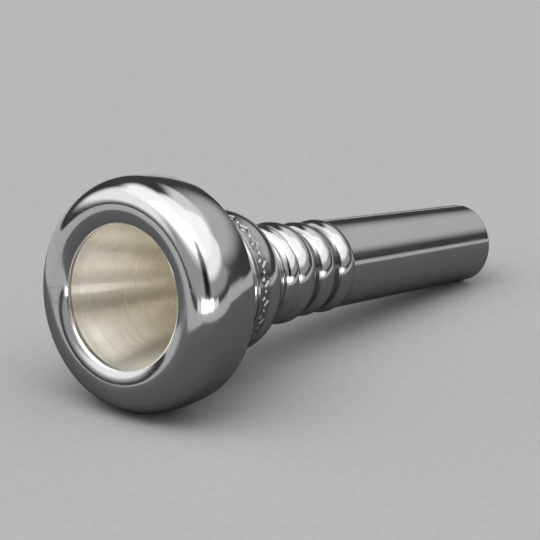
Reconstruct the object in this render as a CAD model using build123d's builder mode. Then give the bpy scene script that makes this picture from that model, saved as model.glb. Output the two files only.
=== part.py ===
from build123d import *

import os
from math import asin, cos, degrees, pi, radians, sin, tan

# Screw-together brass mouthpiece: rim ring, cup insert and tapered shank.
#
# The bore axis is Y. The origin is the centre of the shank's small end face, +Y points
# out of that end, the rim faces -Y and +Z is up. Lengths are millimetres, and every
# depth is measured from the mouth plane, where the cup begins, towards the shank.

# ---- overall ------------------------------------------------------------------------
MOUTH_TO_END = 62.8          # mouth plane to the shank's end face
MOUTH_R = 8.6                # radius of the opening at the mouth plane
RIM_R = 14.0                 # largest outside radius
SMALL_END_R = 4.75           # outside radius of the shank's end
TAPER = 1 / 20               # shank taper on diameter
EDGE = 0.2                   # chamfer of the hidden turned edges

# ---- rim ring -----------------------------------------------------------------------
LIP_LAND = 0.35              # polished land between the bite and the mouth plane
BITE_RISE = 0.75             # axial rise of the inner rounding, from land to crest
CREST_R = 10.8               # radius of the rim's highest circle
WIDEST_DEPTH = 2.7
SHOULDER_DEPTH = 7.2         # centre of the back shoulder's rounding
SHOULDER_R = 12.5
SHOULDER_ROUND = 1.0
BACK_SLOPE = 55.0            # degrees, of the ring's back face
SEAT_DEPTH = 10.7            # the ring seats on the cup's flange here
SEAT_R = 10.2                # outside radius of the ring at its seat
SEAT_BLEND = 0.5

# ---- cup insert ---------------------------------------------------------------------
FRONT_GAP = 0.05             # between the ring's lip and the cup's front face
CUP_BAND = 1.3               # steep band just inside the mouth
CUP_BAND_R = 8.35
CUP_HALF_ANGLE = 16.5        # degrees, wall of the V cup
THROAT_R = 2.2
CUP_BLEND = 3.0
THROAT_BLEND = 12.0
FLANGE_R = 10.0
FLANGE_THICK = 0.5
COLLAR_GROOVE_R = 8.4        # groove between flange and collar
COLLAR_GROOVE_DEPTH = 12.3
GROOVE_BLEND = 0.25
FRONT_BEAD = (12.85, 13.6)   # front and back of the fine bead that starts the collar
FRONT_BEAD_R = 8.95
FRONT_BEAD_ROUNDS = (0.35, 0.3)
FINE_GROOVE_R = 8.72         # fine groove between that bead and the engraved band
COLLAR_FRONT = 13.75
COLLAR_BACK = 15.95
COLLAR_R = 8.9
COLLAR_LIP = 0.15            # step from the collar down to the domed back
DOME_END = 20.5              # flat back of the cup, where the shank seats
DOME_END_R = 5.9
DOME_BULGE = 0.6             # how far the dome stands out of its straight chord
NIPPLE_END = 27.5
NIPPLE_R = 3.9

# ---- engraved border of the collar ----------------------------------------------------
BORDER_COUNT = 24
BORDER_MIDDLE = 14.75        # depth of the border's centre line
LOZENGE_LENGTH = 1.5         # along the axis
LOZENGE_WIDTH = 1.45         # round the collar
ISLAND = 0.45                # size of the lozenge left standing inside each one
DOT_R = 0.2
BORDER_DEPTH = 0.15

# ---- threads: ridges round the axis, whose crests clear each other ---------------------
PITCH = 0.75
THREAD_DEPTH = 0.3
RIDGE_END = 0.2              # share of the pitch where a ridge's crest ends
ROOT = 0.55                  # share of the pitch where the root lies
RIDGE_START = 0.9            # share of the pitch where the next crest starts
RUNNING_GAP = 0.05           # radial, between male and female crests
PILOT_R = 9.2                # plain nose in front of the rim thread
RIM_THREAD_R = 9.35
RIM_THREAD = (3.6, 10.0)     # depths where that thread starts and ends
NIPPLE_THREAD = (21.6, 26.9)

# ---- shank ----------------------------------------------------------------------------
NECK_R = 5.1
FINE_RING_R = 5.4
FINE_RING_FRONTS = (21.3, 21.95)
FINE_RING_WIDTH = 0.5
GRIP_FRONT = 22.6            # the grip bead has two lobes, parted by a narrow valley
GRIP_PARTING = 24.5
GRIP_BACK = 28.2
GRIP_FRONT_R = 6.05
GRIP_BACK_R = 6.2
GRIP_PARTING_R = 5.55
GRIP_FRONT_ROUNDS = (1.45, 0.4)  # axial length of each bead's front and back rounding
GRIP_BACK_ROUNDS = (1.6, 2.0)
MIDDLE_BEAD = (29.1, 31.85)  # front and back of each smaller bead
MIDDLE_BEAD_R = 5.72
MIDDLE_BEAD_ROUNDS = (1.5, 1.1)
REAR_BEAD = (32.8, 35.2)     # its back meets the plain taper
REAR_BEAD_R = 5.68
REAR_BEAD_ROUNDS = (1.5, 0.8)
GROOVE_R = 5.05
END_ROUND = 0.35
SOCKET_GAP = 0.1             # between the nipple's end and the socket's step
BACKBORE_END_R = 3.9


def along(depth):
    """Y of a depth behind the mouth plane."""
    return depth - MOUTH_TO_END


def thread_ridges(span, crest_r, root_r):
    """Points of a ridged wall over a span of depths, from front to back."""
    front, back = span
    turns = int((back - front) / PITCH)
    points = [(crest_r, along(front))]
    for turn in range(turns):
        start = front + turn * PITCH
        points.append((crest_r, along(start + PITCH * RIDGE_END)))
        points.append((root_r, along(start + PITCH * ROOT)))
        points.append((crest_r, along(start + PITCH * RIDGE_START)))
    points.append((crest_r, along(back)))
    return points


def rounding(foot_r, crest_r, crest, length, front):
    """One rounded side of a bead: circular where it is longer than high, else elliptical."""
    rise = crest_r - foot_r
    if length > rise:
        radius = (length**2 + rise**2) / (2 * rise)
        sweep = degrees(asin(length / radius))
        CenterArc((crest_r - radius, crest), radius, -sweep if front else 0, sweep)
    else:
        EllipticalCenterArc((foot_r, crest), rise, length, start_angle=270 if front else 0)


def bead(span, crest_r, feet, rounds):
    """Outline of one turned bead: a rounded front, a short plain crest and a rounded back."""
    crest_front = along(span[0] + rounds[0])
    crest_back = along(span[1] - rounds[1])
    rounding(feet[0], crest_r, crest_front, rounds[0], True)
    Line((crest_r, crest_front), (crest_r, crest_back))
    rounding(feet[1], crest_r, crest_back, rounds[1], False)


def lozenge(length, width, mode=Mode.ADD):
    """A lozenge in the sketch, its length along the sketch's X."""
    corners = ((length / 2, 0), (0, width / 2), (-length / 2, 0), (0, -width / 2))
    Polygon(*corners, align=None, mode=mode)


os.makedirs("parts", exist_ok=True)

# ---- rim ring -------------------------------------------------------------------------
bore_r = RIM_THREAD_R + RUNNING_GAP
nose_bore_r = PILOT_R + RUNNING_GAP

# One large arc runs from the widest circle into the shoulder's rounding, tangent to both.
wall_drop = RIM_R - SHOULDER_R
wall_run = SHOULDER_DEPTH - WIDEST_DEPTH
wall_arc = (wall_drop**2 + wall_run**2 - SHOULDER_ROUND**2) / (2 * (wall_drop - SHOULDER_ROUND))
wall_turn = degrees(asin(wall_run / (wall_arc - SHOULDER_ROUND)))

with BuildPart() as rim:
    with BuildSketch(Plane.XY):
        with BuildLine():
            Line((MOUTH_R, along(0)), (MOUTH_R, along(-LIP_LAND)))
            EllipticalCenterArc(
                (CREST_R, along(-LIP_LAND)), CREST_R - MOUTH_R, BITE_RISE, start_angle=180
            )
            EllipticalCenterArc(
                (CREST_R, along(WIDEST_DEPTH)),
                RIM_R - CREST_R,
                WIDEST_DEPTH + LIP_LAND + BITE_RISE,
                start_angle=270,
            )
            CenterArc((RIM_R - wall_arc, along(WIDEST_DEPTH)), wall_arc, 0, wall_turn)
            shoulder = CenterArc(
                (SHOULDER_R, along(SHOULDER_DEPTH)),
                SHOULDER_ROUND,
                wall_turn,
                BACK_SLOPE - wall_turn,
            )
            back_run = (shoulder.position_at(1).X - SEAT_R) / tan(radians(BACK_SLOPE))
            FilletPolyline(
                shoulder.position_at(1),
                (SEAT_R, shoulder.position_at(1).Y + back_run),
                (SEAT_R, along(SEAT_DEPTH)),
                radius=SEAT_BLEND,
            )
            Polyline((SEAT_R, along(SEAT_DEPTH)), (bore_r, along(SEAT_DEPTH)))
            bore_ridges = thread_ridges(RIM_THREAD, bore_r, bore_r + THREAD_DEPTH)
            Polyline((bore_r, along(SEAT_DEPTH)), *reversed(bore_ridges))
            Polyline(
                (bore_r, along(RIM_THREAD[0])),
                (nose_bore_r, along(RIM_THREAD[0]) - EDGE),
                (nose_bore_r, along(0)),
                (MOUTH_R, along(0)),
            )
        make_face()
    revolve(axis=Axis.Y)
rim.part.label = "rim"
export_step(rim.part, "parts/rim.step")

# ---- cup insert: satin V bowl, throat, threads, collar and domed back --------------------
throat_depth = CUP_BAND + (CUP_BAND_R - THROAT_R) / tan(radians(CUP_HALF_ANGLE))
flange_back = SEAT_DEPTH + FLANGE_THICK
dome_start_r = COLLAR_R - COLLAR_LIP

with BuildPart() as cup:
    with BuildSketch(Plane.XY):
        with BuildLine():
            FilletPolyline(
                (MOUTH_R, along(FRONT_GAP)),
                (CUP_BAND_R, along(CUP_BAND)),
                (THROAT_R, along(throat_depth)),
                (THROAT_R, along(NIPPLE_END)),
                radius=(CUP_BLEND, THROAT_BLEND),
            )
            nipple_ridges = thread_ridges(NIPPLE_THREAD, NIPPLE_R, NIPPLE_R - THREAD_DEPTH)
            Polyline(
                (THROAT_R, along(NIPPLE_END)),
                (NIPPLE_R - EDGE, along(NIPPLE_END)),
                (NIPPLE_R, along(NIPPLE_END - EDGE)),
                *reversed(nipple_ridges),
                (NIPPLE_R, along(DOME_END)),
                (DOME_END_R, along(DOME_END)),
            )
            dome_middle = (
                (dome_start_r + DOME_END_R) / 2 + DOME_BULGE,
                along((COLLAR_BACK + DOME_END) / 2) + DOME_BULGE,
            )
            ThreePointArc(
                (DOME_END_R, along(DOME_END)), dome_middle, (dome_start_r, along(COLLAR_BACK))
            )
            Polyline(
                (dome_start_r, along(COLLAR_BACK)),
                (COLLAR_R, along(COLLAR_BACK)),
                (COLLAR_R, along(COLLAR_FRONT)),
                (FINE_GROOVE_R, along(COLLAR_FRONT)),
                (FINE_GROOVE_R, along(FRONT_BEAD[1])),
            )
            bead(FRONT_BEAD, FRONT_BEAD_R, (COLLAR_GROOVE_R, FINE_GROOVE_R), FRONT_BEAD_ROUNDS)
            FilletPolyline(
                (COLLAR_GROOVE_R, along(FRONT_BEAD[0])),
                (COLLAR_GROOVE_R, along(COLLAR_GROOVE_DEPTH)),
                (FLANGE_R, along(flange_back)),
                (FLANGE_R, along(SEAT_DEPTH)),
                radius=(GROOVE_BLEND, 0),
            )
            rim_ridges = thread_ridges(RIM_THREAD, RIM_THREAD_R, RIM_THREAD_R - THREAD_DEPTH)
            Polyline(
                (FLANGE_R, along(SEAT_DEPTH)),
                (RIM_THREAD_R, along(SEAT_DEPTH)),
                *reversed(rim_ridges),
                (PILOT_R, along(RIM_THREAD[0]) - EDGE),
                (PILOT_R, along(FRONT_GAP + EDGE)),
                (PILOT_R - EDGE, along(FRONT_GAP)),
                (MOUTH_R, along(FRONT_GAP)),
            )
        make_face()
    revolve(axis=Axis.Y)

    # Border: outlined lozenges round the collar with a dot between each two.
    for mark in range(2 * BORDER_COUNT):
        turn = pi / BORDER_COUNT * mark
        outward = Plane(
            (0, along(BORDER_MIDDLE), 0), x_dir=(0, 1, 0), z_dir=(sin(turn), 0, cos(turn))
        )
        with BuildSketch(outward.offset(COLLAR_R - BORDER_DEPTH)):
            if mark % 2:
                Circle(DOT_R)
            else:
                lozenge(LOZENGE_LENGTH, LOZENGE_WIDTH)
                lozenge(LOZENGE_LENGTH * ISLAND, LOZENGE_WIDTH * ISLAND, mode=Mode.SUBTRACT)
    extrude(amount=2 * BORDER_DEPTH, mode=Mode.SUBTRACT)
cup.part.label = "cup"
export_step(cup.part, "parts/cup.step")

# ---- shank: socket, turned rings, plain taper and widening bore --------------------------
socket_r = NIPPLE_R + RUNNING_GAP
socket_end = NIPPLE_END + SOCKET_GAP
taper_front_r = SMALL_END_R + (MOUTH_TO_END - REAR_BEAD[1]) * TAPER / 2
ring_round = FINE_RING_WIDTH / 3

with BuildPart() as shank:
    with BuildSketch(Plane.XY):
        with BuildLine():
            foot = (NECK_R, along(DOME_END))
            Line((socket_r, along(DOME_END)), foot)
            for ring_front in FINE_RING_FRONTS:
                ring_back = ring_front + FINE_RING_WIDTH
                Line(foot, (NECK_R, along(ring_front)))
                bead((ring_front, ring_back), FINE_RING_R, (NECK_R, NECK_R), (ring_round, ring_round))
                foot = (NECK_R, along(ring_back))
            Line(foot, (NECK_R, along(GRIP_FRONT)))
            bead(
                (GRIP_FRONT, GRIP_PARTING), GRIP_FRONT_R, (NECK_R, GRIP_PARTING_R), GRIP_FRONT_ROUNDS
            )
            bead((GRIP_PARTING, GRIP_BACK), GRIP_BACK_R, (GRIP_PARTING_R, GROOVE_R), GRIP_BACK_ROUNDS)
            Line((GROOVE_R, along(GRIP_BACK)), (GROOVE_R, along(MIDDLE_BEAD[0])))
            bead(MIDDLE_BEAD, MIDDLE_BEAD_R, (GROOVE_R, GROOVE_R), MIDDLE_BEAD_ROUNDS)
            Line((GROOVE_R, along(MIDDLE_BEAD[1])), (GROOVE_R, along(REAR_BEAD[0])))
            bead(REAR_BEAD, REAR_BEAD_R, (GROOVE_R, taper_front_r), REAR_BEAD_ROUNDS)
            Line(
                (taper_front_r, along(REAR_BEAD[1])), (SMALL_END_R, along(MOUTH_TO_END - END_ROUND))
            )
            CenterArc((SMALL_END_R - END_ROUND, along(MOUTH_TO_END - END_ROUND)), END_ROUND, 0, 90)
            socket_ridges = thread_ridges(NIPPLE_THREAD, socket_r, socket_r + THREAD_DEPTH)
            Polyline(
                (SMALL_END_R - END_ROUND, along(MOUTH_TO_END)),
                (BACKBORE_END_R, along(MOUTH_TO_END)),
                (THROAT_R, along(socket_end)),
                (socket_r, along(socket_end)),
                *reversed(socket_ridges),
                (socket_r, along(DOME_END)),
            )
        make_face()
    revolve(axis=Axis.Y)
shank.part.label = "shank"
export_step(shank.part, "parts/shank.step")
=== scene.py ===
"""Looks of the screw-together brass mouthpiece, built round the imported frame.

The bore axis is Y, the shank's small end is at the origin and the rim faces -Y.
Outlines are written in millimetres as (radius, depth behind the mouth plane).
"""

from math import asin, cos, degrees, pi, radians, sin, tan

import bpy
import numpy as np
from mathutils import Euler, Matrix, Vector


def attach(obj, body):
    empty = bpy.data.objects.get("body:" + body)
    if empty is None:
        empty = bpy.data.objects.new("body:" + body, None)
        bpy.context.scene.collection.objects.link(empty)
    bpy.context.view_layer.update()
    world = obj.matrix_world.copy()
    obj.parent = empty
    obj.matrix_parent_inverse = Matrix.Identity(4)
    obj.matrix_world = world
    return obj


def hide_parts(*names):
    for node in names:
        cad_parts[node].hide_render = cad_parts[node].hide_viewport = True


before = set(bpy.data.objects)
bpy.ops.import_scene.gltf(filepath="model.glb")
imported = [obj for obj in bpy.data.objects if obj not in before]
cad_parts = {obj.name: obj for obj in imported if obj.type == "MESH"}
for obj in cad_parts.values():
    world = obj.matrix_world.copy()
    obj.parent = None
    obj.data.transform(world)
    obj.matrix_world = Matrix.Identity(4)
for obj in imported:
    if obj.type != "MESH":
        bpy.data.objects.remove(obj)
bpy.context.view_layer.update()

MM = 0.001

# ---- camera --------------------------------------------------------------------------
AIM = Vector((0.0013, -0.0386, 0.0009))   # metres
AZIMUTH = 39.57              # degrees, from the rim's side round to the right
ELEVATION = 13.12            # degrees above the bore's horizontal
ROLL = 6.11                  # degrees; the camera leans a little to the left
DISTANCE = 0.5395            # metres
LENS = 300.0                 # millimetres, on this width of sensor
SENSOR = 36.0
SIGHT = (0.01, 20.0)         # metres, nearest and farthest that the camera sees

# ---- overall -------------------------------------------------------------------------
MOUTH_TO_END = 62.8
MOUTH_R = 8.6
RIM_R = 14.0
SMALL_END_R = 4.75
TAPER = 1 / 20
BREAK = 0.08                 # rounding of turned edges that look sharp

# ---- rim ring ------------------------------------------------------------------------
LIP_LAND = 0.35
BITE_RISE = 0.75
CREST_R = 10.8
WIDEST_DEPTH = 2.7
SHOULDER_DEPTH = 7.2
SHOULDER_R = 12.5
SHOULDER_ROUND = 1.0
BACK_SLOPE = 55.0
SEAT_DEPTH = 10.7
SEAT_R = 10.2
SEAT_BLEND = 0.5

# ---- cup insert ----------------------------------------------------------------------
FRONT_GAP = 0.05
CUP_BAND = 1.3
CUP_BAND_R = 8.35
CUP_HALF_ANGLE = 16.5
CUP_BLEND = 3.0
THROAT_R = 2.2
THROAT_BLEND = 12.0
FLANGE_R = 10.0
FLANGE_THICK = 0.5
COLLAR_GROOVE_R = 8.4
COLLAR_GROOVE_DEPTH = 12.3
GROOVE_BLEND = 0.25
FRONT_BEAD = (12.85, 13.6)
FRONT_BEAD_R = 8.95
FRONT_BEAD_ROUNDS = (0.35, 0.3)
FINE_GROOVE_R = 8.72
COLLAR_FRONT = 13.75
COLLAR_BACK = 15.95
COLLAR_R = 8.9
COLLAR_LIP = 0.15
DOME_END = 20.5
DOME_END_R = 5.9
DOME_BULGE = 0.6
NIPPLE_END = 27.5
NIPPLE_R = 3.9

# ---- engraved border -----------------------------------------------------------------
BORDER_COUNT = 24
BORDER_MIDDLE = 14.75
LOZENGE_LENGTH = 1.5
LOZENGE_WIDTH = 1.45
ISLAND = 0.45                # size of the lozenge left standing inside each one
DOT_R = 0.2
BORDER_DEPTH = 0.15
BORDER_WALL = 0.08           # width of the sloping wall of each cut
BORDER_REACH = 0.8           # the border's rows stop this far from its centre line

# ---- threads -------------------------------------------------------------------------
PITCH = 0.75
THREAD_DEPTH = 0.3
RUNNING_GAP = 0.05
PILOT_R = 9.2
RIM_THREAD_R = 9.35
RIM_THREAD = (3.6, 10.0)
NIPPLE_THREAD = (21.6, 26.9)
THREAD_ROWS = 8              # mesh rows in one pitch
TOOTH_HEIGHT = 1.6           # of a tooth's sloping sides, before they are cut off at 0 and 1
TOOTH_SLOPE = 5.0            # their steepness over one pitch
EDGE = 0.2

# ---- shank ---------------------------------------------------------------------------
NECK_R = 5.1
FINE_RING_R = 5.4
FINE_RING_FRONTS = (21.3, 21.95)
FINE_RING_WIDTH = 0.5
GRIP_FRONT = 22.6
GRIP_PARTING = 24.5
GRIP_BACK = 28.2
GRIP_FRONT_R = 6.05
GRIP_BACK_R = 6.2
GRIP_PARTING_R = 5.55
GRIP_FRONT_ROUNDS = (1.45, 0.4)
GRIP_BACK_ROUNDS = (1.6, 2.0)
MIDDLE_BEAD_ROUNDS = (1.5, 1.1)
MIDDLE_BEAD = (29.1, 31.85)
MIDDLE_BEAD_R = 5.72
REAR_BEAD = (32.8, 35.2)
REAR_BEAD_R = 5.68
REAR_BEAD_ROUNDS = (1.5, 0.8)
GROOVE_R = 5.05
END_ROUND = 0.35
SOCKET_GAP = 0.1
BACKBORE_END_R = 3.9

# ---- mesh fineness -------------------------------------------------------------------
SEGMENTS = 480               # round the axis
ARC_STEP = 4.0               # degrees between the rows of a rounding
SHARP_TURN = 35.0            # degrees; a sharper corner is shaded as an edge
SAME_PLACE = 1e-4            # rows closer than this are one row

# ---- looks -----------------------------------------------------------------------------
SILVER = (0.70, 0.705, 0.71), (0.76, 0.765, 0.77)          # polished plate, dull to bright
# colour of the tarnish in the engraving, and of the painted shade in the grooves and over the
# engraved band
TARNISH_AND_PAINTED_SHADE = (0.16, 0.15, 0.14)
CHAMPAGNE_AND_THROAT_SHADE = (0.95, 0.885, 0.73), (0.985, 0.97, 0.93)       # satin plate, throat to mouth; the throat's darker gold is painted shade
PAPER = (0.42, 0.42, 0.425), (0.45, 0.45, 0.455)
FELT = (0.07, 0.071, 0.075), (0.09, 0.091, 0.095)
POLISH = (0.055, 0.13)       # roughness of the polished plate, from its haze
SATIN = (0.26, 0.34)         # roughness of the bowl, from its tool lines
MATT = 0.9                   # roughness of the paper and the felt
MOST = (0.3, 0.7)            # most of a noise lies between these
HAZE = (160.0, 5.0, 0.6)     # noise over the polished plate: scale, detail, roughness
LATHE = (0.15, 5.5, 2.0)     # its turning lines: change round the axis, scale, detail
PATCHES = (110.0, 2.0)       # where its hairlines are: scale and detail
PATCH_EDGES = (0.46, 0.62)
LINES = (0.08, 9.0, 2.0)     # tool lines of the bowl: change round the axis, scale, detail
STREAKS = (1.0, 16.0, 3.0)   # streaks along the bowl, likewise
STREAK_RUN = 0.003           # how slowly a streak changes along the bowl
CLOUD = (220.0, 4.0)         # uneven tone of the bowl: scale and detail
PAPER_FIBRE = (900.0, 4.0)
FELT_FIBRE = (600.0, 4.0)
LATHE_HEIGHT = 2e-6          # metres, height of the polished plate's turning lines
HAIR_HEIGHT = -7e-7
LINE_HEIGHT = 1.4e-6         # tool lines of the bowl
STREAK_HEIGHT = 2.5e-5       # polishing streaks along the bowl
FIBRE_HEIGHT = 2e-5
HAIRLINES = ((40.0, 600.0, 260.0), (420.0, 90.0, 500.0))   # how each set is drawn out in x, y, z
HAIR_WIDTH = 0.012
HAIR_ROUGHNESS = 0.08
BAND_PAINTED_SHADE = 0.5           # share of the painted shade on the engraved band itself
TARNISH_ROUGHNESS = 0.12
FACE_LINES = 0.77            # how fast the turning lines pass across a flat face
THROAT_SHADE_DEPTHS = 2.0, 13.0      # where the bowl's painted shade, darker and more golden, begins and is full

# ---- stage and light -------------------------------------------------------------------
FLOOR_SIZE = 6.0             # metres
STEEPEST_REST = 20.0         # degrees, more than the bore can lean on the floor
CARD = (-72, 95, -160, 85)   # left, right, front and back edges, millimetres
HOVER = 0.02                 # the card lies this far above the floor, millimetres
SHADE = 0.05                 # light from where no panel stands
WARM_WHITE = (1.0, 0.995, 0.985, 1.0)
PANELS = (                   # strength, azimuth, half widths, elevations of its start and its end
    (1.25, 135, (120, 150), (28, 44)),         # roof over the right and the front
    (1.25, -120, (36, 64), (32, 48)),          # roof over the left
    (1.2, 120, (179, 180), (60, 74)),          # the middle of the roof
    (3.2, 160, (55, 75), (38, 52), (72, 82)),  # lamp over the front, which the bowl mirrors
    (1.1, 68, (36, 54), (16, 30)),             # right wall
    (0.34, 75, (32, 48), (5, 12)),             # its low part
    (1.05, -125, (22, 46), (4, 18)),           # left wall
    (0.36, -175, (45, 60), (2, 8)),            # front wall, low and high
    (0.6, -175, (45, 60), (24, 34)),
    (0.5, 8, (14, 44), (8, 22)),               # back wall, low and high
    (0.8, 0, (22, 44), (24, 36)),
    (0.85, 128, (38, 44), (-1, 0), (5, 9)),    # pale line along the horizon
    (0.45, 60, (30, 38), (-1, 0), (1, 3)),
    (4.0, 111, (6, 8), (-1, 1), (7, 10)),      # two bright windows in it
    (4.0, 135, (13, 16), (-1, 1), (7, 10)),
)
GAP = (0.85, 123, (5, 14), (8, 12), (52, 72))  # dark upright gap between the panels


# ---- outlines ------------------------------------------------------------------------
class Outline:
    """A closed section of a turned piece: rows of radius, depth and thread cut."""

    def __init__(self):
        self.rows = []
        self.bowl = [0, 0]

    def add(self, radius, depth, cut=0.0):
        """Adds a row, unless it only repeats the last one."""
        if self.rows:
            last_radius, last_depth, _ = self.rows[-1]
            if abs(last_radius - radius) + abs(last_depth - depth) < SAME_PLACE:
                return
        self.rows.append((radius, depth, cut))

    def path(self, *corners):
        """Straight runs through corners (radius, depth, rounding)."""
        for i, (radius, depth, *rounding) in enumerate(corners):
            if not rounding or i in (0, len(corners) - 1):
                self.add(radius, depth)
                continue
            here = np.array((radius, depth))
            back = np.array(corners[i - 1][:2]) - here
            ahead = np.array(corners[i + 1][:2]) - here
            back /= np.linalg.norm(back)
            ahead /= np.linalg.norm(ahead)
            half = np.arccos(np.clip(back @ ahead, -1, 1)) / 2
            reach = rounding[0] / tan(half)
            inward = (back + ahead) / np.linalg.norm(back + ahead)
            centre = here + inward * rounding[0] / sin(half)
            first = here + back * reach - centre
            last = here + ahead * reach - centre
            turn = pi - 2 * half
            steps = max(2, round(degrees(turn) / ARC_STEP))
            for k in range(steps + 1):
                a = sin(turn * (1 - k / steps)) / sin(turn)
                b = sin(turn * k / steps) / sin(turn)
                self.add(*(centre + first * a + last * b))

    def arc(self, centre, radii, start, sweep):
        """An elliptical stretch; angles in degrees from the radial direction."""
        steps = max(3, round(abs(sweep) / ARC_STEP))
        for k in range(steps + 1):
            angle = radians(start + sweep * k / steps)
            self.add(centre[0] + radii[0] * cos(angle), centre[1] + radii[1] * sin(angle))

    def thread(self, span, radius, cut):
        """Rows for a screw thread, from the first depth of span to the second."""
        length = abs(span[1] - span[0])
        count = round(length / PITCH * THREAD_ROWS)
        for k in range(count + 1):
            depth = span[0] + (span[1] - span[0]) * k / count
            run_out = min(1.0, min(k, count - k) / THREAD_ROWS)
            self.add(radius, depth, cut * run_out)

    def bead(self, span, crest_r, feet, rounds):
        """A turned bead from one depth of span to the other: rounded, plain, rounded."""
        way = 1 if span[1] > span[0] else -1
        for side, crest_depth in ((0, span[0] + way * rounds[0]), (1, span[1] - way * rounds[1])):
            length, rise = rounds[side], crest_r - feet[side]
            radius = (length**2 + rise**2) / (2 * rise)
            if length > rise:
                centre, radii = crest_r - radius, (radius, radius)
                turn = degrees(asin(length / radius))
            else:
                centre, radii, turn = feet[side], (rise, length), 90
            if side == 0:
                self.arc((centre, crest_depth), radii, -turn * way, turn * way)
            else:
                self.arc((centre, crest_depth), radii, 0, turn * way)


def rim_outline():
    """Polished ring: bite, rounded face, outer wall, shoulder, seat and threaded bore."""
    o = Outline()
    bore_r = RIM_THREAD_R + RUNNING_GAP
    nose_bore_r = PILOT_R + RUNNING_GAP
    rise = WIDEST_DEPTH + LIP_LAND + BITE_RISE
    drop, run = RIM_R - SHOULDER_R, SHOULDER_DEPTH - WIDEST_DEPTH
    wall = (drop**2 + run**2 - SHOULDER_ROUND**2) / (2 * (drop - SHOULDER_ROUND))
    turn = degrees(asin(run / (wall - SHOULDER_ROUND)))
    o.add(MOUTH_R, 0)
    o.arc((CREST_R, -LIP_LAND), (CREST_R - MOUTH_R, BITE_RISE), 180, 90)
    o.arc((CREST_R, WIDEST_DEPTH), (RIM_R - CREST_R, rise), 270, 90)
    o.arc((RIM_R - wall, WIDEST_DEPTH), (wall, wall), 0, turn)
    o.arc((SHOULDER_R, SHOULDER_DEPTH), (SHOULDER_ROUND,) * 2, turn, BACK_SLOPE - turn)
    edge_r, edge_depth = o.rows[-1][:2]
    foot_depth = edge_depth + (edge_r - SEAT_R) / tan(radians(BACK_SLOPE))
    o.path(
        (edge_r, edge_depth),
        (SEAT_R, foot_depth, SEAT_BLEND),
        (SEAT_R, SEAT_DEPTH, BREAK),
        (bore_r, SEAT_DEPTH, BREAK),
        (bore_r, RIM_THREAD[1]),
    )
    o.thread(RIM_THREAD[::-1], bore_r, THREAD_DEPTH)
    o.path(
        (bore_r, RIM_THREAD[0]),
        (nose_bore_r, RIM_THREAD[0] - EDGE),
        (nose_bore_r, 0),
        (MOUTH_R, 0),
    )
    return o


def cup_outline():
    """Insert: V bowl and throat, threaded nipple, domed back, collar, flange and nose."""
    o = Outline()
    throat_depth = CUP_BAND + (CUP_BAND_R - THROAT_R) / tan(radians(CUP_HALF_ANGLE))
    dome_r = COLLAR_R - COLLAR_LIP
    o.path(
        (MOUTH_R, FRONT_GAP),
        (CUP_BAND_R, CUP_BAND, CUP_BLEND),
        (THROAT_R, throat_depth, THROAT_BLEND),
        (THROAT_R, NIPPLE_END),
    )
    o.bowl = [0, len(o.rows) - 1]
    o.path(
        (THROAT_R, NIPPLE_END),
        (NIPPLE_R - EDGE, NIPPLE_END),
        (NIPPLE_R, NIPPLE_END - EDGE),
        (NIPPLE_R, NIPPLE_THREAD[1]),
    )
    o.thread(NIPPLE_THREAD[::-1], NIPPLE_R, -THREAD_DEPTH)
    o.path((NIPPLE_R, NIPPLE_THREAD[0]), (NIPPLE_R, DOME_END), (DOME_END_R, DOME_END))
    dome_arc(o, (DOME_END_R, DOME_END), (dome_r, COLLAR_BACK))
    o.path(
        (dome_r, COLLAR_BACK),
        (COLLAR_R, COLLAR_BACK, BREAK),
        (COLLAR_R, BORDER_MIDDLE + BORDER_REACH),
    )
    border_rows(o)
    o.path(
        (COLLAR_R, BORDER_MIDDLE - BORDER_REACH),
        (COLLAR_R, COLLAR_FRONT, BREAK / 2),
        (FINE_GROOVE_R, COLLAR_FRONT),
        (FINE_GROOVE_R, FRONT_BEAD[1]),
    )
    feet = (FINE_GROOVE_R, COLLAR_GROOVE_R)
    o.bead(FRONT_BEAD[::-1], FRONT_BEAD_R, feet, FRONT_BEAD_ROUNDS[::-1])
    o.path(
        (COLLAR_GROOVE_R, FRONT_BEAD[0]),
        (COLLAR_GROOVE_R, COLLAR_GROOVE_DEPTH, GROOVE_BLEND),
        (FLANGE_R, SEAT_DEPTH + FLANGE_THICK, BREAK),
        (FLANGE_R, SEAT_DEPTH, BREAK),
        (RIM_THREAD_R, SEAT_DEPTH),
        (RIM_THREAD_R, RIM_THREAD[1]),
    )
    o.thread(RIM_THREAD[::-1], RIM_THREAD_R, -THREAD_DEPTH)
    o.path(
        (RIM_THREAD_R, RIM_THREAD[0]),
        (PILOT_R, RIM_THREAD[0] - EDGE),
        (PILOT_R, FRONT_GAP + EDGE),
        (PILOT_R - EDGE, FRONT_GAP),
        (MOUTH_R, FRONT_GAP),
    )
    return o


def dome_arc(outline, start, end):
    """The dome as the circle through its two ends and a middle that stands proud."""
    a, b = np.array(start), np.array(end)
    m = (a + b) / 2 + DOME_BULGE
    ab, am = b - a, m - a
    cross = 2 * (am[0] * ab[1] - am[1] * ab[0])
    centre = a + np.array((
        (ab[1] * (am @ am) - am[1] * (ab @ ab)) / cross,
        (am[0] * (ab @ ab) - ab[0] * (am @ am)) / cross,
    ))
    radius = np.linalg.norm(a - centre)
    first = degrees(np.arctan2(*(a - centre)[::-1]))
    last = degrees(np.arctan2(*(b - centre)[::-1]))
    outline.arc(centre, (radius, radius), first, last - first)


def border_rows(outline):
    """Close rows across the collar, fine enough for the engraved border."""
    front, back = BORDER_MIDDLE - BORDER_REACH, BORDER_MIDDLE + BORDER_REACH
    count = round((back - front) / (BORDER_WALL / 2))
    for k in range(count + 1):
        outline.add(COLLAR_R, back - (back - front) * k / count)


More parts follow.
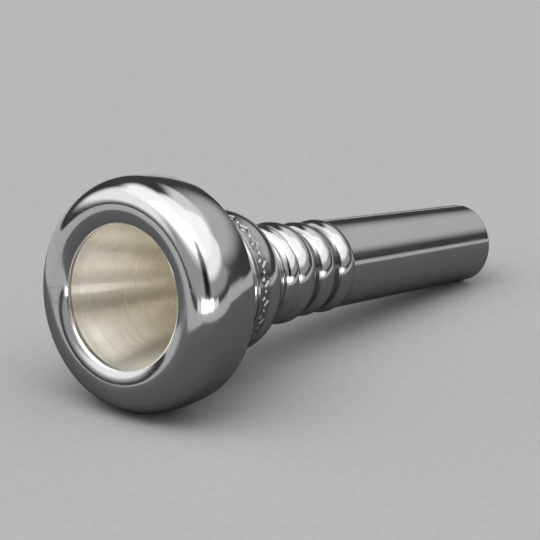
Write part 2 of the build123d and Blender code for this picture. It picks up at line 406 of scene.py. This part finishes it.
def shank_outline():
    """Shank: socket face, fine rings, grip bead, two beads, taper and widening bore."""
    o = Outline()
    socket_r = NIPPLE_R + RUNNING_GAP
    socket_end = NIPPLE_END + SOCKET_GAP
    taper_r = SMALL_END_R + (MOUTH_TO_END - REAR_BEAD[1]) * TAPER / 2
    o.path((socket_r, DOME_END), (NECK_R, DOME_END, BREAK), (NECK_R, FINE_RING_FRONTS[0]))
    for front in FINE_RING_FRONTS:
        o.add(NECK_R, front)
        rounding = FINE_RING_WIDTH / 3
        o.bead((front, front + FINE_RING_WIDTH), FINE_RING_R, (NECK_R,) * 2, (rounding,) * 2)
    o.add(NECK_R, GRIP_FRONT)
    o.bead((GRIP_FRONT, GRIP_PARTING), GRIP_FRONT_R, (NECK_R, GRIP_PARTING_R), GRIP_FRONT_ROUNDS)
    o.bead((GRIP_PARTING, GRIP_BACK), GRIP_BACK_R, (GRIP_PARTING_R, GROOVE_R), GRIP_BACK_ROUNDS)
    o.bead(MIDDLE_BEAD, MIDDLE_BEAD_R, (GROOVE_R,) * 2, MIDDLE_BEAD_ROUNDS)
    o.bead(REAR_BEAD, REAR_BEAD_R, (GROOVE_R, taper_r), REAR_BEAD_ROUNDS)
    o.path(
        (taper_r, REAR_BEAD[1]),
        (taper_r - EDGE * TAPER / 2, REAR_BEAD[1] + EDGE),
        (SMALL_END_R, MOUTH_TO_END, END_ROUND),
        (BACKBORE_END_R, MOUTH_TO_END, BREAK),
        (THROAT_R, socket_end),
        (socket_r, socket_end),
        (socket_r, NIPPLE_THREAD[1]),
    )
    o.thread(NIPPLE_THREAD[::-1], socket_r, THREAD_DEPTH)
    o.path((socket_r, NIPPLE_THREAD[0]), (socket_r, DOME_END))
    return o


# ---- turning an outline into a mesh --------------------------------------------------
def tooth(phase):
    """Thread form: 0 on the crest, 1 at the root."""
    return np.clip(TOOTH_HEIGHT - np.abs(phase % 1.0 - 0.5) * TOOTH_SLOPE, 0.0, 1.0)


def border_cut(angle, depth):
    """Depth of the engraving: outlined lozenges with a dot between each two."""
    spacing = 2 * pi / BORDER_COUNT
    near = (angle + spacing / 2) % spacing - spacing / 2
    across, along = np.abs(near) * COLLAR_R, np.abs(depth - BORDER_MIDDLE)
    inside = 1 - across / (LOZENGE_WIDTH / 2) - along / (LOZENGE_LENGTH / 2)
    inradius = LOZENGE_LENGTH * LOZENGE_WIDTH / 2 / np.hypot(LOZENGE_LENGTH, LOZENGE_WIDTH)
    outline = np.minimum(inside, 1 - ISLAND - inside) * inradius
    between = angle % spacing - spacing / 2
    dot = DOT_R - np.hypot(between * COLLAR_R, depth - BORDER_MIDDLE)
    return BORDER_DEPTH * np.clip(np.maximum(outline, dot) / BORDER_WALL, 0.0, 1.0)


def turned(name, outline, engraved=False):
    """Mesh object made by turning a closed outline round the Y axis."""
    rows = np.array(outline.rows)
    if np.hypot(*(rows[0, :2] - rows[-1, :2])) < SAME_PLACE:
        rows = rows[:-1]
    # Rows run clockwise, with radius to the right and depth up, so that faces look outwards.
    r, d = rows[:, 0], rows[:, 1]
    if (r * np.roll(d, -1) - np.roll(r, -1) * d).sum() > 0:
        rows = rows[::-1]
    count = len(rows)
    angle = np.arange(SEGMENTS) / SEGMENTS * 2 * pi
    depth = np.repeat(rows[:, 1:2], SEGMENTS, axis=1)
    radius = rows[:, 0:1] + rows[:, 2:3] * tooth(depth / PITCH - angle / (2 * pi))
    if engraved:
        on_collar = (np.abs(rows[:, 0:1] - COLLAR_R) < 1e-6) & (depth > COLLAR_FRONT)
        radius = np.where(on_collar, radius - border_cut(angle, depth), radius)
    verts = np.stack([radius * np.sin(angle), depth - MOUTH_TO_END, radius * np.cos(angle)], 2)
    i, j = np.meshgrid(np.arange(count), np.arange(SEGMENTS), indexing="ij")
    up, over = (i + 1) % count, (j + 1) % SEGMENTS
    here, there = i * SEGMENTS, up * SEGMENTS
    quads = np.stack([here + j, there + j, there + over, here + over], 2)
    mesh = bpy.data.meshes.new(name)
    mesh.from_pydata((verts.reshape(-1, 3) * MM).tolist(), [], quads.reshape(-1, 4).tolist())
    mesh.polygons.foreach_set("use_smooth", [True] * len(mesh.polygons))
    steps = np.roll(rows[:, :2], -1, axis=0) - rows[:, :2]
    heading = np.degrees(np.arctan2(steps[:, 1], steps[:, 0]))
    bend = np.abs((heading - np.roll(heading, 1) + 180) % 360 - 180)
    sharp_row = (bend > SHARP_TURN) & (rows[:, 2] == 0)
    ends = np.zeros(len(mesh.edges) * 2, int)
    mesh.edges.foreach_get("vertices", ends)
    row_of = ends.reshape(-1, 2) // SEGMENTS
    sharp = (row_of[:, 0] == row_of[:, 1]) & sharp_row[row_of[:, 0]]
    mesh.attributes.new("sharp_edge", "BOOLEAN", "EDGE").data.foreach_set("value", sharp)
    mesh.update()
    piece = bpy.data.objects.new(name, mesh)
    bpy.context.collection.objects.link(piece)
    return piece


# ---- materials -----------------------------------------------------------------------
class Nodes:
    """Small helper round the node tree of a material or a world."""

    def __init__(self, owner, shader):
        owner.use_nodes = True
        self.owner = owner
        self.tree = owner.node_tree
        self.shader = self.tree.nodes[shader]

    def node(self, kind, **settings):
        made = self.tree.nodes.new(kind)
        for key, value in settings.items():
            setattr(made, key, value)
        return made

    def link(self, source, target):
        self.tree.links.new(source, target)

    def feed(self, **sources):
        """Links sources to the shader's sockets; an underscore in a name is a space."""
        for name, source in sources.items():
            self.link(source, self.shader.inputs[name.replace("_", " ")])

    def fix(self, **values):
        """Sets numbers on the shader's own sockets; an underscore in a name is a space."""
        for name, value in values.items():
            self.shader.inputs[name.replace("_", " ")].default_value = value

    def math(self, operation, a, b):
        made = self.node("ShaderNodeMath", operation=operation)
        for socket, value in zip(made.inputs, (a, b)):
            if isinstance(value, (int, float)):
                socket.default_value = value
            else:
                self.link(value, socket)
        return made.outputs[0]

    def round_axis(self):
        """Object place, its depth and radius in millimetres, and its unit heading from the axis."""
        place = self.node("ShaderNodeTexCoord").outputs["Object"]
        split = self.node("ShaderNodeSeparateXYZ")
        self.link(place, split.inputs[0])
        x, z = split.outputs["X"], split.outputs["Z"]
        depth = self.math("ADD", self.math("DIVIDE", split.outputs["Y"], MM), MOUTH_TO_END)
        squares = self.math("ADD", self.math("POWER", x, 2), self.math("POWER", z, 2))
        out = self.math("SQRT", squares, 0)
        heading = self.math("DIVIDE", x, out), self.math("DIVIDE", z, out)
        return place, depth, self.math("DIVIDE", out, MM), heading

    def turning(self, heading, across, round_scale, scale, detail):
        """Noise drawn out round the axis: it changes fast across the cut and slowly round it."""
        x, z = (self.math("MULTIPLY", part, round_scale) for part in heading)
        return self.noise(self.combine(x, across, z), scale, detail)

    def step(self, value, low, high):
        """Smooth step from 0 at low to 1 at high."""
        made = self.node("ShaderNodeMapRange", interpolation_type="SMOOTHSTEP")
        self.link(value, made.inputs["Value"])
        made.inputs["From Min"].default_value = low
        made.inputs["From Max"].default_value = high
        return made.outputs["Result"]

    def noise(self, vector, scale, detail=3.0, roughness=0.5):
        made = self.node("ShaderNodeTexNoise")
        self.link(vector, made.inputs["Vector"])
        made.inputs["Scale"].default_value = scale
        made.inputs["Detail"].default_value = detail
        made.inputs["Roughness"].default_value = roughness
        return made.outputs["Fac"]

    def spread(self, value, low, high, from_low, from_high):
        """Straight line from low to high, clamped at both ends."""
        made = self.node("ShaderNodeMapRange")
        self.link(value, made.inputs["Value"])
        for key, number in (("From Min", from_low), ("From Max", from_high),
                            ("To Min", low), ("To Max", high)):
            made.inputs[key].default_value = number
        return made.outputs["Result"]

    def combine(self, x, y, z):
        made = self.node("ShaderNodeCombineXYZ")
        for socket, value in zip(made.inputs, (x, y, z)):
            if isinstance(value, (int, float)):
                socket.default_value = value
            else:
                self.link(value, socket)
        return made.outputs[0]

    def tint(self, value, colours, low=MOST[0], high=MOST[1]):
        """From the first colour at low to the second at high."""
        made = self.node("ShaderNodeValToRGB")
        self.link(value, made.inputs["Fac"])
        for stop, place, colour in zip(made.color_ramp.elements, (low, high), colours):
            stop.position = place
            stop.color = (*colour, 1.0)
        return made.outputs["Color"]

    def without(self, value):
        """One less the value."""
        return self.math("SUBTRACT", 1.0, value)

    def every(self, *values):
        """All the values multiplied together."""
        total = values[0]
        for value in values[1:]:
            total = self.math("MULTIPLY", total, value)
        return total

    def stretched(self, vector, scale):
        made = self.node("ShaderNodeVectorMath", operation="MULTIPLY")
        self.link(vector, made.inputs[0])
        made.inputs[1].default_value = scale
        return made.outputs[0]

    def blend(self, factor, first, colour):
        """From the first colour towards a fixed one as the factor rises."""
        made = self.node("ShaderNodeMix", data_type="RGBA")
        self.link(factor, made.inputs["Factor"])
        self.link(first, made.inputs[6])
        made.inputs[7].default_value = (*colour, 1.0)
        return made.outputs[2]

    def bump(self, height, distance, normal=None):
        made = self.node("ShaderNodeBump")
        made.inputs["Strength"].default_value = 1.0
        made.inputs["Distance"].default_value = distance
        self.link(height, made.inputs["Height"])
        if normal is not None:
            self.link(normal, made.inputs["Normal"])
        return made.outputs["Normal"]


def surface(name):
    """Node helper round a new material's Principled shader."""
    return Nodes(bpy.data.materials.new(name), "Principled BSDF")


def polished_plate():
    """Mirror-polished silver plate with haze, turning lines, hairlines, tarnish in the engraving
    and painted shade in the recesses and over the engraved collar.
    """
    n = surface("polished_plate_look")
    place, depth, radius, heading = n.round_axis()
    haze = n.noise(place, *HAZE)
    across = n.math("ADD", depth, n.math("MULTIPLY", radius, FACE_LINES))
    lathe = n.turning(heading, across, *LATHE)

    # Hairlines follow the contours of two long-drawn noises, in patches only.
    patches = n.step(n.noise(place, *PATCHES), *PATCH_EDGES)
    hairs = 0.0
    for stretch in HAIRLINES:
        drawn = n.noise(n.stretched(place, stretch), 1.0, 1.0)
        from_middle = n.math("ABSOLUTE", n.math("SUBTRACT", drawn, 0.5), 0)
        hairs = n.math("MAXIMUM", n.without(n.step(from_middle, 0.0, HAIR_WIDTH)), hairs)
    hairs = n.every(hairs, patches)

    # Darker deep in the engraving and the grooves, and thin over the engraved band: tarnish in the
    # engraved cuts, painted shade in the grooves, in the shank's neck and over the band.
    # painted shade in the shank's neck and in the grooves between its beads
    groove_painted_shade = n.every(
        n.without(n.step(radius, NECK_R, FINE_RING_R)),
        n.step(radius, NIPPLE_R, NECK_R * 0.97),
        n.without(n.step(depth, REAR_BEAD[1] - 0.3, REAR_BEAD[1] + 0.2)),
    )
    # tarnish in the engraved cuts, and painted shade in the grooves on either side of the front
    # bead
    engraving = n.every(
        n.without(n.step(radius, FINE_GROOVE_R - BORDER_DEPTH / 2, COLLAR_R - 0.02)),
        n.step(radius, CUP_BAND_R, COLLAR_GROOVE_R),
        n.step(depth, COLLAR_GROOVE_DEPTH - 0.2, COLLAR_GROOVE_DEPTH),
        n.without(n.step(depth, COLLAR_BACK - 0.35, COLLAR_BACK - 0.3)),
    )
    # painted shade over the whole engraved band
    band_painted_shade = n.every(
        n.step(radius, COLLAR_GROOVE_R, FINE_GROOVE_R),
        n.step(depth, COLLAR_FRONT - 0.1, COLLAR_FRONT + 0.1),
        n.without(n.step(depth, COLLAR_BACK - 0.4, COLLAR_BACK - 0.25)),
        BAND_PAINTED_SHADE,
    )
    # tarnish and painted shade together, made uneven by the haze
    tarnish_and_painted_shade_mask = n.math("MAXIMUM", n.math("MAXIMUM", groove_painted_shade, engraving), band_painted_shade)
    tarnish_and_painted_shade_mask = n.every(tarnish_and_painted_shade_mask, n.spread(haze, 0.55, 0.95, *MOST))

    rough = n.math("ADD", n.spread(haze, *POLISH, 0.3, 0.75), n.every(hairs, HAIR_ROUGHNESS))
    scratched = n.bump(hairs, HAIR_HEIGHT)
    # the tarnish and the painted shade darken the plate's colour and roughen it
    n.feed(
        Base_Color=n.blend(tarnish_and_painted_shade_mask, n.tint(haze, SILVER), TARNISH_AND_PAINTED_SHADE),
        Roughness=n.math("ADD", rough, n.every(tarnish_and_painted_shade_mask, TARNISH_ROUGHNESS)),
        Normal=n.bump(lathe, LATHE_HEIGHT, scratched),
    )
    n.fix(Metallic=1.0)
    return n.owner


def satin_plate():
    """Satin pale plate inside the bowl: fine tool lines round the axis stretch highlights."""
    n = surface("satin_plate_look")
    place, depth, _, heading = n.round_axis()
    lines = n.turning(heading, depth, *LINES)
    streaks = n.turning(heading, n.every(depth, STREAK_RUN), *STREAKS)
    cloud = n.noise(place, *CLOUD)
    tone = n.math("ADD", n.every(lines, 0.4), n.every(cloud, 0.6))

    # Painted shade: the plate is darker and more golden towards the throat.
    # painted shade, deepest at the throat
    inward = n.every(n.step(depth, *THROAT_SHADE_DEPTHS), 0.5)
    # the plate's tone less the painted shade towards the throat
    tone_and_painted_shade = n.math("SUBTRACT", n.spread(tone, 0.75, 1.0, *MOST), inward)
    tangent = n.node("ShaderNodeTangent", direction_type="RADIAL", axis="Y")
    n.feed(
        Base_Color=n.tint(tone_and_painted_shade, CHAMPAGNE_AND_THROAT_SHADE, 0.2, 1.0),
        Roughness=n.spread(lines, *SATIN, *MOST),
        Normal=n.bump(lines, LINE_HEIGHT, n.bump(streaks, STREAK_HEIGHT)),
        Tangent=tangent.outputs[0],
    )
    n.fix(Metallic=1.0, Anisotropic=1.0, Anisotropic_Rotation=0.25)
    return n.owner


def floor_paper():
    """Pale studio paper."""
    n = surface("studio_paper_look")
    fibre = n.noise(n.node("ShaderNodeTexCoord").outputs["Object"], *PAPER_FIBRE)
    n.feed(Base_Color=n.tint(fibre, PAPER), Normal=n.bump(fibre, FIBRE_HEIGHT))
    n.fix(Roughness=MATT, Specular_IOR_Level=0.0)
    return n.owner


def card_felt():
    """Black felt of the card under the object."""
    n = surface("black_felt_look")
    fibre = n.noise(n.node("ShaderNodeTexCoord").outputs["Object"], *FELT_FIBRE)
    n.feed(Base_Color=n.tint(fibre, FELT))
    n.fix(Roughness=MATT)
    return n.owner


# ---- pieces --------------------------------------------------------------------------
mirror = polished_plate()
satin = satin_plate()

rim = turned("rim_ring", rim_outline())
rim.data.materials.append(mirror)
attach(rim, "rim")
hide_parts("rim")

cup_shape = cup_outline()
cup = turned("cup_insert", cup_shape, engraved=True)
cup.data.materials.append(mirror)
cup.data.materials.append(satin)
bowl_faces = np.zeros(len(cup.data.polygons), int)
bowl_faces[cup_shape.bowl[0] * SEGMENTS:cup_shape.bowl[1] * SEGMENTS] = 1
cup.data.polygons.foreach_set("material_index", bowl_faces)
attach(cup, "cup")
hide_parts("cup")

shank = turned("shank_body", shank_outline())
shank.data.materials.append(mirror)
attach(shank, "shank")
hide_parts("shank")


# ---- stage ---------------------------------------------------------------------------
def lowest(points, tilt):
    """Lowest height of some points over a floor that is tilted about X."""
    return (points @ np.array((0.0, -sin(tilt), cos(tilt)))).min()


def points_of(piece):
    """A piece's vertices as an array."""
    flat = np.zeros(len(piece.data.vertices) * 3)
    piece.data.vertices.foreach_get("co", flat)
    return flat.reshape(-1, 3)


def resting_tilt():
    """Floor tilt that touches both the rim ring and the shank's end."""
    ring, tail = points_of(rim), points_of(shank)
    low, high = 0.0, radians(STEEPEST_REST)
    for _ in range(40):
        middle = (low + high) / 2
        if lowest(ring, middle) < lowest(tail, middle):
            low = middle
        else:
            high = middle
    return low, lowest(ring, low)


def sheet(name, edges, height, material):
    """A flat sheet level with the floor: its left, right, front and back edges in metres."""
    left, right, front, back = edges
    corners = (left, front, 0), (right, front, 0), (right, back, 0), (left, back, 0)
    mesh = bpy.data.meshes.new(name)
    mesh.from_pydata(corners, [], [(0, 1, 2, 3)])
    piece = bpy.data.objects.new(name, mesh)
    bpy.context.collection.objects.link(piece)
    piece.matrix_world = Matrix.Translation(floor_up * height) @ stage_turn
    piece.data.materials.append(material)
    return piece


tilt, floor_height = resting_tilt()
floor_up = Vector((0.0, -sin(tilt), cos(tilt)))
stage_turn = Euler((tilt, 0.0, 0.0)).to_matrix().to_4x4()

half = FLOOR_SIZE / 2
floor = sheet("floor", (-half, half, -half, half), floor_height, floor_paper())

# A black card under the object, seen only by reflections: the floor itself stays pale.
card_edges = [edge * MM for edge in CARD]
card = sheet("black_card", card_edges, floor_height + HOVER * MM, card_felt())
for kind in ("camera", "diffuse", "shadow", "transmission", "volume_scatter"):
    setattr(card, f"visible_{kind}", False)


def studio():
    """Soft light tent: bright roof, grey sides and a pale line along the horizon."""
    n = Nodes(bpy.data.worlds.new("studio"), "Background")
    turn = n.node("ShaderNodeVectorRotate", rotation_type="X_AXIS")
    n.link(n.node("ShaderNodeTexCoord").outputs["Generated"], turn.inputs["Vector"])
    turn.inputs["Angle"].default_value = -tilt
    split = n.node("ShaderNodeSeparateXYZ")
    n.link(turn.outputs[0], split.inputs[0])
    level = n.node("ShaderNodeVectorMath", operation="NORMALIZE")
    n.link(n.combine(split.outputs["X"], split.outputs["Y"], 0.0), level.inputs[0])

    def facing(azimuth, inner, outer):
        """1 within inner degrees of an azimuth, 0 outside the outer ones."""
        side = n.node("ShaderNodeVectorMath", operation="DOT_PRODUCT")
        n.link(level.outputs[0], side.inputs[0])
        side.inputs[1].default_value = (sin(radians(azimuth)), cos(radians(azimuth)), 0.0)
        return n.step(side.outputs["Value"], cos(radians(outer)), cos(radians(inner)))

    def above(low, high):
        """0 below the low elevation, 1 above the high one, in degrees."""
        return n.step(split.outputs["Z"], sin(radians(low)), sin(radians(high)))

    def panel(strength, azimuth, widths, rise, fall=None):
        """A soft-edged panel: inner and outer half widths, and where it begins and ends."""
        mask = n.every(facing(azimuth, *widths), above(*rise))
        if fall:
            mask = n.every(mask, n.without(above(*fall)))
        return n.every(mask, strength)

    light = SHADE
    for facts in PANELS:
        light = n.math("MAXIMUM", light, panel(*facts))
    n.feed(Strength=n.every(light, n.without(panel(*GAP))))
    n.fix(Color=WARM_WHITE)
    bpy.context.scene.world = n.owner


studio()
bpy.context.scene.view_settings.view_transform = "Standard"


# ---- camera --------------------------------------------------------------------------
def place_camera():
    """The photograph's view: a long lens, aimed at the object's middle."""
    data = bpy.data.cameras.new("camera")
    data.lens = LENS
    data.sensor_width = SENSOR
    data.clip_start, data.clip_end = SIGHT
    camera = bpy.data.objects.new("camera", data)
    bpy.context.collection.objects.link(camera)
    a, e = radians(AZIMUTH), radians(ELEVATION)
    back = Vector((sin(a) * cos(e), -cos(a) * cos(e), sin(e)))
    camera.rotation_mode = "QUATERNION"
    level = back.to_track_quat("Z", "Y")
    camera.rotation_quaternion = level @ Euler((0.0, 0.0, radians(ROLL))).to_quaternion()
    camera.location = AIM + back * DISTANCE
    bpy.context.scene.camera = camera


place_camera()
